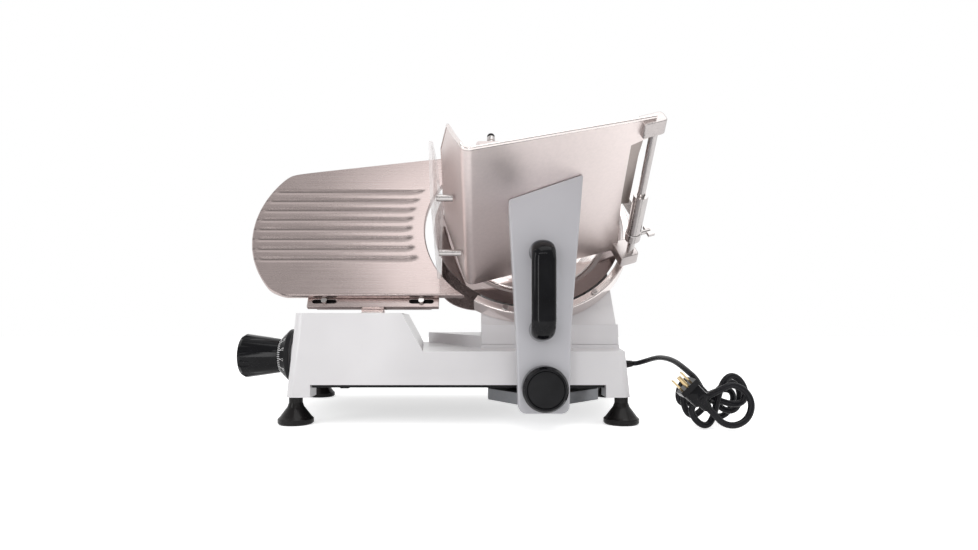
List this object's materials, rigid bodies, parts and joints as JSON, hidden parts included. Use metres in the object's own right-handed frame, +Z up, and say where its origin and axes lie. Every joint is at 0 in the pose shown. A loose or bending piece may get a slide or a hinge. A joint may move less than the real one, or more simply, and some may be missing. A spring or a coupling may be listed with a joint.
{
  "type": "meat slicer",
  "caption": "Electric gravity meat slicer with a leaning round blade, grooved gauge plate, thickness knob, swing-out food tray on a sliding arm and a mains cord.",
  "frame": {"origin": "centre of the slicer's bounding box without its cord, on the table under the feet", "axes": "+X to the operator's right along the carriage's travel, +Y away from the operator, +Z up"},
  "size_m": [0.5991, 0.4054, 0.3992],
  "materials": {
    "white_paint": "cast aluminium under smooth white paint",
    "grey_paint": "cast aluminium under smooth light grey paint",
    "polished_aluminium": "anodised and brushed",
    "blade_steel": "ground and polished",
    "machined_steel": "machined",
    "steel_sheet": "rolled sheet",
    "motor_shell": "cast shell, stands for shell, windings and rotor",
    "black_plastic": "moulded, glossy",
    "green_plastic": "moulded",
    "red_plastic": "moulded",
    "clear_plastic": "clear acrylic sheet",
    "foot_rubber": "moulded, satin",
    "belt_rubber": "ribbed belt",
    "cord_rubber": "flexible jacket",
    "stone": "bonded abrasive"
  },
  "bodies": {
    "base": {"base_casting": "white_paint", "blade_housing": "white_paint", "housing_back_cover": "white_paint", "bottom_cover": "steel_sheet", "foot_front_left": "foot_rubber", "foot_front_right": "foot_rubber", "foot_back_left": "foot_rubber", "foot_back_right": "foot_rubber", "blade_cover_disc": "polished_aluminium", "shaft_bearing": "machined_steel", "drive_belt": "belt_rubber", "motor": "motor_shell", "ring_guard": "polished_aluminium", "ring_bolt_left": "machined_steel", "ring_bolt_right": "machined_steel", "slice_deflector": "steel_sheet", "sharpener_mount": "polished_aluminium", "gauge_slide_rod": "machined_steel", "carriage_slide_rod": "machined_steel", "carriage_guide_bar": "machined_steel", "switch_panel": "black_plastic", "cord_gland": "cord_rubber", "cord_lead": "cord_rubber", "cord_hank": "cord_rubber", "plug": "cord_rubber"},
    "blade": {"slicing_blade": "blade_steel", "blade_shaft": "machined_steel", "blade_pulley": "polished_aluminium"},
    "motor_rotor": {"motor_pulley": "machined_steel"},
    "cover_knob": {"cover_knob": "black_plastic"},
    "sharpener": {"sharpener_cover": "polished_aluminium"},
    "sharpener_pin": {"sharpener_pin": "black_plastic"},
    "grinding_button": {"grinding_button": "black_plastic"},
    "truing_button": {"truing_button": "black_plastic"},
    "grinding_stone": {"grinding_stone": "stone"},
    "truing_stone": {"truing_stone": "stone"},
    "gauge": {"gauge_plate": "polished_aluminium", "gauge_bracket": "polished_aluminium", "gauge_bolt_left": "machined_steel", "gauge_bolt_right": "machined_steel", "gauge_post": "polished_aluminium"},
    "thickness": {"thickness_dial": "black_plastic", "thickness_knob": "black_plastic", "index_spindle": "machined_steel"},
    "carriage": {"carriage_foot": "polished_aluminium"},
    "arm": {"carriage_arm": "grey_paint", "arm_handle": "black_plastic", "food_tray": "polished_aluminium", "finger_guard": "clear_plastic", "guard_spacer_high": "machined_steel", "guard_spacer_low": "machined_steel", "pusher_rod": "machined_steel"},
    "lock_knob": {"lock_knob": "black_plastic"},
    "pusher_collar": {"pusher_collar": "machined_steel"},
    "wing_screw": {"wing_screw": "machined_steel"},
    "pusher": {"pusher_arm": "polished_aluminium", "pusher_plate": "polished_aluminium", "pusher_grip": "black_plastic"},
    "on_button": {"on_button": "green_plastic"},
    "off_button": {"off_button": "red_plastic"}
  },
  "joints": [
    {"name": "carriage_slide", "type": "slide", "parent": "base", "child": "carriage", "axis": [1, 0, 0], "range_m": [-0.19, 0.01]},
    {"name": "arm_tilt", "type": "hinge", "parent": "carriage", "child": "arm", "pos_m": [0.1123, -0.1156, 0.03], "axis": [1, 0, 0], "range_deg": [0, 30]},
    {"name": "lock_turn", "type": "hinge", "parent": "arm", "child": "lock_knob", "pos_m": [0.1123, -0.1386, 0.0465], "axis": [0, 1, 0], "range_deg": [0, 360]},
    {"name": "gauge_slide", "type": "slide", "parent": "base", "child": "gauge", "axis": [0, 1, 0], "range_m": [0, 0.015]},
    {"name": "thickness_turn", "type": "hinge", "parent": "base", "child": "thickness", "pos_m": [-0.2195, 0.0014, 0.0725], "axis": [1, 0, 0], "range_deg": [0, 300]},
    {"name": "blade_spin", "type": "hinge", "parent": "base", "child": "blade", "pos_m": [0.1084, 0.0494, 0.2435], "axis": [0, -0.866, 0.5], "continuous": true},
    {"name": "motor_spin", "type": "hinge", "parent": "base", "child": "motor_rotor", "pos_m": [0.1084, -0.0006, 0.1569], "axis": [0, -0.866, 0.5], "continuous": true},
    {"name": "cover_knob_turn", "type": "hinge", "parent": "base", "child": "cover_knob", "pos_m": [0.1084, 0.18623, 0.1645], "axis": [0, -0.866, 0.5], "range_deg": [0, 360]},
    {"name": "sharpener_lift", "type": "slide", "parent": "base", "child": "sharpener", "axis": [0, 0.5, 0.866], "range_m": [0, 0.03]},
    {"name": "sharpener_pin_turn", "type": "hinge", "parent": "sharpener", "child": "sharpener_pin", "pos_m": [0.0614, 0.14229, 0.38039], "axis": [0, 0.5, 0.866], "range_deg": [0, 180]},
    {"name": "grinding_push", "type": "slide", "parent": "sharpener", "child": "grinding_button", "axis": [0, -0.866, 0.5], "range_m": [0, 0.006], "stiffness_N_per_m": 200},
    {"name": "truing_push", "type": "slide", "parent": "sharpener", "child": "truing_button", "axis": [0, -0.866, 0.5], "range_m": [0, 0.006], "stiffness_N_per_m": 200},
    {"name": "grinding_stone_spin", "type": "hinge", "parent": "grinding_button", "child": "grinding_stone", "pos_m": [0.0554, 0.14158, 0.33116], "axis": [0, -0.866, 0.5], "continuous": true},
    {"name": "truing_stone_spin", "type": "hinge", "parent": "truing_button", "child": "truing_stone", "pos_m": [0.1174, 0.14158, 0.33116], "axis": [0, -0.866, 0.5], "continuous": true},
    {"name": "pusher_slide", "type": "slide", "parent": "arm", "child": "pusher_collar", "axis": [-0.0667, -0.8133, 0.578], "range_m": [0, 0.076]},
    {"name": "pusher_swing", "type": "hinge", "parent": "pusher_collar", "child": "pusher", "pos_m": [0.23393, 0.00355, 0.20009], "axis": [0.0667, 0.8133, -0.578], "range_deg": [0, 100]},
    {"name": "wing_screw_turn", "type": "hinge", "parent": "pusher_collar", "child": "wing_screw", "pos_m": [0.23148, -0.0263, 0.2213], "axis": [0.9581, 0.1096, 0.2648], "range_deg": [0, 180]},
    {"name": "on_press", "type": "slide", "parent": "base", "child": "on_button", "axis": [0.9844, 0.1393, -0.1073], "range_m": [0, 0.002], "stiffness_N_per_m": 300},
    {"name": "off_press", "type": "slide", "parent": "base", "child": "off_button", "axis": [0.9844, 0.1393, -0.1073], "range_m": [0, 0.002], "stiffness_N_per_m": 300}
  ],
  "couplings": [
    {"joint": "thickness_turn", "follows": "gauge_slide", "rad_per_m": 349},
    {"joint": "motor_spin", "follows": "blade_spin", "ratio": 4.1667}
  ]
}
